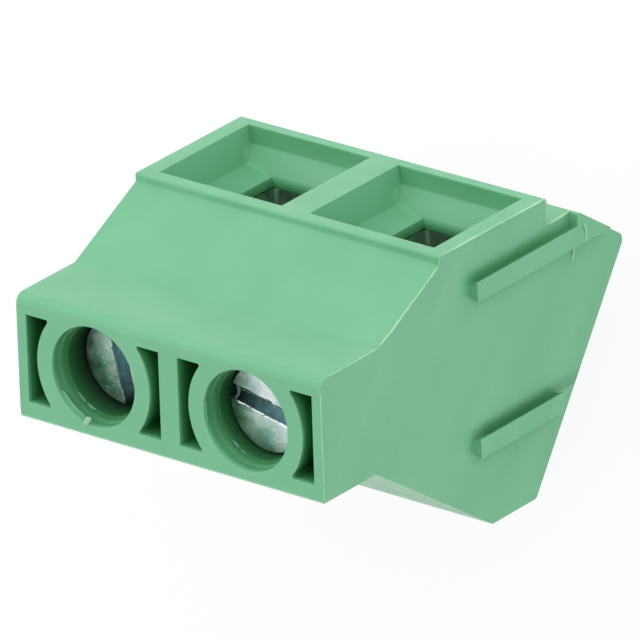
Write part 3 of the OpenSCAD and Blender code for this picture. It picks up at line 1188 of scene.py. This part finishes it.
@dataclass
class Screw:
    """One slotted screw with its thread and the burrs of its slot.

    Args:
        pole: the pole it clamps.
        home_face: depth of the head's face when the screw is home.
        lift: how far the loose right screw stands out.
        head_r: radius of the head.
        head_h: height of the head.
        slot_w: width of the slot.
        slot_angles: angle of the slot from level, for each pole.
        core_r: radius of the thread's core.
        crest_r: radius of the thread's crest.
        pitch: pitch of the thread.
        tip: depth of the screw's tip when it is home.
        steps: steps in one turn of the thread.
    """

    pole: Pole
    home_face: float = 2.1
    lift: float = 0.5
    head_r: float = 2.31
    head_h: float = 2.1
    slot_w: float = 0.82
    slot_angles: tuple[float, float] = (-78.7, -12.4)
    core_r: float = 1.2
    crest_r: float = 1.5
    pitch: float = 0.5
    tip: float = 11.45
    steps: int = 36

    @property
    def body(self) -> str:
        """The CAD body that the screw is."""
        return f"screw_{self.pole.word}_body"

    @property
    def out(self) -> float:
        """How far this screw stands out of its home place."""
        return self.lift if self.pole is Pole.RIGHT else 0.0

    @property
    def face(self) -> float:
        """Depth of the head's face."""
        return self.home_face - self.out

    def head(self, material: bpy.types.Material) -> None:
        """Builds the slotted head from the CAD shape, without its shank.

        Args:
            material: its finish.
        """
        bm = Piece.merged_copy(f"screw_{self.pole.word}")
        seat = BODY.place(0, self.face + self.head_h - 0.05, 0)
        away = BODY.way(0, 1, 0)
        bmesh.ops.bisect_plane(
            bm, geom=bm.verts[:] + bm.edges[:] + bm.faces[:], plane_co=seat, plane_no=away,
            clear_outer=True,
        )
        bmesh.ops.holes_fill(bm, edges=[e for e in bm.edges if e.is_boundary], sides=0)
        Piece.soften(bm, 0.025)
        head = Piece.make(f"screw_{self.pole.word}_head", bm, material, self.body, Slot.SCREW)
        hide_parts(f"screw_{self.pole.word}")

    def thread(self, material: bpy.types.Material) -> None:
        """Spins the shank's helical thread round its core.

        Args:
            material: its finish.
        """
        bm = bmesh.new()
        start, end = self.face + self.head_h - 0.06, self.tip - self.out
        core = bmesh.ops.create_cone(
            bm, cap_ends=True, segments=48, radius1=self.core_r, radius2=self.core_r,
            depth=end - start,
        )["verts"]
        bmesh.ops.translate(bm, verts=core, vec=(0, 0, (start + end) / 2))
        rim = [e for e in bm.edges if all(abs(v.co.z - end) < 1e-4 for v in e.verts)]
        bmesh.ops.bevel(
            bm, geom=rim, offset=0.35, segments=2, profile=0.5, affect="EDGES",
            clamp_overlap=True, material=-1,
        )
        ridge = bmesh.ops.create_circle(bm, cap_ends=True, segments=4, radius=1.0)["verts"]
        rise = self.crest_r - self.core_r
        section = ((-0.05, -0.24), (rise, -0.03), (rise, 0.03), (-0.05, 0.24))
        for vert, (r, z) in zip(ridge, section):
            vert.co = Vector((self.core_r + r, 0, start + 0.5 + z))
        turns = int((end - start - 1.0) / self.pitch)
        profile = ridge[0].link_faces[0]
        bmesh.ops.spin(
            bm, geom=[profile, *profile.edges, *profile.verts], cent=(0, 0, 0), axis=(0, 0, 1),
            dvec=(0, 0, self.pitch / self.steps), angle=2 * math.pi * turns,
            steps=self.steps * turns, use_merge=False, use_duplicate=False,
        )
        bmesh.ops.holes_fill(bm, edges=[e for e in bm.edges if e.is_boundary], sides=0)
        bmesh.ops.recalc_face_normals(bm, faces=bm.faces[:])
        shift = Matrix.Translation((self.pole.value * HALF_PITCH, 0, AXIS_W))
        lay = shift @ Matrix.Rotation(math.radians(-90), 4, "X")
        bmesh.ops.transform(bm, matrix=BODY.matrix @ lay, verts=bm.verts[:])
        name = f"screw_{self.pole.word}_thread"
        Piece.make(name, bm, material, self.body, Slot.SCREW, crease=30.0)

    def burrs(self, material: bpy.types.Material) -> None:
        """Builds the ragged burrs along the slot's edges.

        Args:
            material: its finish.
        """
        angle = math.radians(self.slot_angles[self.pole is Pole.RIGHT])
        along = Vector((math.cos(angle), 0, math.sin(angle)))
        across = Vector((-math.sin(angle), 0, math.cos(angle)))
        centre = Vector((self.pole.value * HALF_PITCH, self.face, AXIS_W))
        reach = math.sqrt(self.head_r**2 - (self.slot_w / 2) ** 2) - 0.06

        def edge(side: int, first: float, last: float) -> tuple[Triple, ...]:
            """A stretch of one edge of the slot.

            Args:
                side: 1 for the upper edge, -1 for the lower one.
                first: where it starts, as a share of half the slot's length.
                last: where it ends.

            Returns:
                The two ends of the stretch.
            """
            near = centre + across * side * (self.slot_w / 2 + 0.01)
            return tuple(near + along * reach * first), tuple(near + along * reach * last)

        stretches = {
            Pole.LEFT: (
                (-1, -0.98, 0.98, 0.07, 0.05),
                (1, -0.9, -0.2, 0.05, 0.03),
                (1, 0.2, 0.97, 0.08, 0.05),
            ),
            Pole.RIGHT: (
                (-1, -0.98, 0.98, 0.08, 0.055),
                (1, -0.8, 0.1, 0.1, 0.07),
                (1, 0.15, 0.98, 0.06, 0.04),
            ),
        }
        runs = []
        for i, (side, first, last, wide, tall) in enumerate(stretches[self.pole]):
            lean = -0.5 * side
            rise = (lean * across.x, -1.0, lean * across.z)
            runs.append(Run(
                edge(side, first, last), rise, wide, tall, sink=0.02, wander=0.03, rag=0.7,
                step=0.08, seed=31 + i + 5 * self.pole.value,
            ))
        if self.pole is Pole.RIGHT:
            turns = (math.radians(a) for a in range(-90, 91, 15))
            deeper_shade = centre + Vector((0, 0.06, 0)) - along * (reach - 0.1)
            lip = tuple(
                tuple(deeper_shade + along * 0.24 * math.cos(a) + across * 0.40 * math.sin(a))
                for a in turns
            )
            runs.append(Run(
                lip, (0, -1, 0), 0.07, 0.05, sink=0.12, wander=0.01, rag=0.4, step=0.06, seed=47
            ))
        Run.piece(f"screw_{self.pole.word}_burrs", runs, material, self.body, Slot.SCREW)

    def build(self, finishes: Finishes) -> None:
        """Builds the whole screw.

        Args:
            finishes: the terminal's finishes.
        """
        self.head(finishes.screws[self.pole])
        self.thread(finishes.screws[self.pole])
        self.burrs(finishes.burr)


@dataclass
class MetalPiece:
    """A metal piece whose CAD shape only needs softer edges.

    Args:
        node: its CAD node.
        body: the CAD body it moves with.
        slot: the record's material slot it stands for.
        edge: width of the softened edges.
    """

    node: str
    body: str
    slot: Slot
    edge: float

    def build(self, material: bpy.types.Material) -> None:
        """Builds the piece.

        Args:
            material: its finish.
        """
        bm = Piece.merged_copy(self.node)
        Piece.soften(bm, self.edge)
        piece = Piece.make(self.node + "_metal", bm, material, self.body, self.slot)
        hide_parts(self.node)


@dataclass(frozen=True)
class Studio:
    """Floor, light and camera.

    Args:
        azimuth: angle of the view from the front face's normal, in degrees.
        elevation: angle of the view above the wire entry's cross plane.
        roll: turn of the camera about its own axis.
        distance: from the aim point to the camera, in millimetres.
        lens: focal length in millimetres on a sensor 36 mm wide.
        aim: place in the body frame that the camera looks at.
        floor_height: height of the floor above the board's face, in millimetres.
        tent_level: light of the tent's walls.
        door_level: share of that light in the dark door.
        door_way: direction of the door.
        door_angles: angles from it where the door ends and the wall is full.
        horizon_level: share of the light at the horizon.
        floor_glow: share of the floor that glows for what is seen directly,
            in gloss or through a clear piece.
    """

    azimuth: float = 39.9735
    elevation: float = 24.1123
    roll: float = 3.1428
    distance: float = 625.931
    lens: float = 717.17
    aim: Triple = (-0.74, 12.459, 2.424)
    floor_height: float = -3.52
    tent_level: float = 1.43
    door_level: float = 0.02
    door_way: Triple = (0.474, -0.665, 0.577)
    door_angles: tuple[float, float] = (13.6, 38.1)
    horizon_level: float = 0.42
    floor_glow: float = 0.92

    @property
    def back(self) -> Vector:
        """Direction from the terminal to the camera, in the body frame."""
        az, el = math.radians(self.azimuth), math.radians(self.elevation)
        return Vector((math.sin(az) * math.cos(el), -math.cos(az) * math.cos(el), math.sin(el)))

    def camera(self) -> None:
        """Sets the camera."""
        back, roll = self.back, math.radians(self.roll)
        level_up = (Vector((0, 0, 1)) - back * back.z).normalized()
        level_right = level_up.cross(back)
        up = level_up * math.cos(roll) + level_right * math.sin(roll)
        right = level_right * math.cos(roll) - level_up * math.sin(roll)
        turn = Matrix((BODY.way(*right), BODY.way(*up), BODY.way(*back))).transposed()
        data = bpy.data.cameras.new("camera")
        data.lens = self.lens
        data.sensor_width = 36
        data.clip_start = 0.01
        data.clip_end = 10
        camera = bpy.data.objects.new("camera", data)
        place = BODY.place(*self.aim) + BODY.way(*back) * self.distance * MM
        camera.matrix_world = Matrix.Translation(place) @ turn.to_4x4()
        bpy.context.scene.collection.objects.link(camera)
        bpy.context.scene.camera = camera

    def world(self) -> None:
        """Lights the scene as a white tent with a dark door beside the camera."""
        world = bpy.data.worlds.new("tent")
        nodes = Nodes.of(world)
        way = nodes.add("TexCoord").outputs["Generated"]
        facing = nodes.add("VectorMath", operation="DOT_PRODUCT")
        nodes.tree.links.new(way, facing.inputs[0])
        facing.inputs[1].default_value = self.door_way
        inner, outer = (math.cos(math.radians(a)) for a in self.door_angles)
        door = nodes.smooth(facing.outputs["Value"], (outer, inner), (1.0, self.door_level))
        height = nodes.add("SeparateXYZ", Vector=way).outputs["Z"]
        wall = nodes.smooth(height, (0.0, 0.5), (self.horizon_level, 1.0))
        pattern = nodes.product(door, wall)
        tent = nodes.scaled(pattern, self.tent_level)
        direct = nodes.add("LightPath").outputs["Is Camera Ray"]
        light = nodes.add("Background", Color=(1, 1, 1, 1), Strength=tent)
        white = nodes.add(
            "Background", Color=(1, 1, 1, 1), Strength=nodes.largest(direct, pattern)
        )
        nodes.finish(nodes.mix(nodes.shown(), light, white), "World")
        bpy.context.scene.world = world

    def floor(self) -> None:
        """Lays a plain white floor that keeps a pale shadow."""
        bm = bmesh.new()
        bmesh.ops.create_grid(bm, x_segments=1, y_segments=1, size=1.0)
        bmesh.ops.translate(bm, verts=bm.verts[:], vec=(0, 0, self.floor_height * MM))
        mesh = bpy.data.meshes.new("floor")
        bm.to_mesh(mesh)
        bm.free()
        material = bpy.data.materials.new("white_floor")
        nodes = Nodes.of(material)
        seen = nodes.scaled(nodes.shown(), self.floor_glow)
        white = nodes.add("BsdfDiffuse", Color=(0.9, 0.9, 0.9, 1))
        glow = nodes.add("Emission", Color=(1, 1, 1, 1), Strength=1.0)
        nodes.finish(nodes.mix(seen, white, glow))
        mesh.materials.append(material)
        obj = bpy.data.objects.new("floor", mesh)
        bpy.context.scene.collection.objects.link(obj)

    def build(self) -> None:
        """Builds the whole studio."""
        self.camera()
        self.world()
        self.floor()
        bpy.context.scene.view_settings.view_transform = "Standard"


def main() -> None:
    """Builds the terminal and its studio."""
    Studio().build()
    finishes = Finishes.make()
    Housing().build(finishes)
    for pole in Pole:
        Screw(pole).build(finishes)
        sleeve = MetalPiece(
            f"clamp_sleeve_{pole.word}", f"sleeve_{pole.word}_body", Slot.SLEEVE, edge=0.06
        )
        sleeve.build(finishes.sleeve)
        bar = MetalPiece(f"current_bar_{pole.word}", "block", Slot.BAR, edge=0.05)
        bar.build(finishes.bar)


if __name__ == "__main__":
    main()
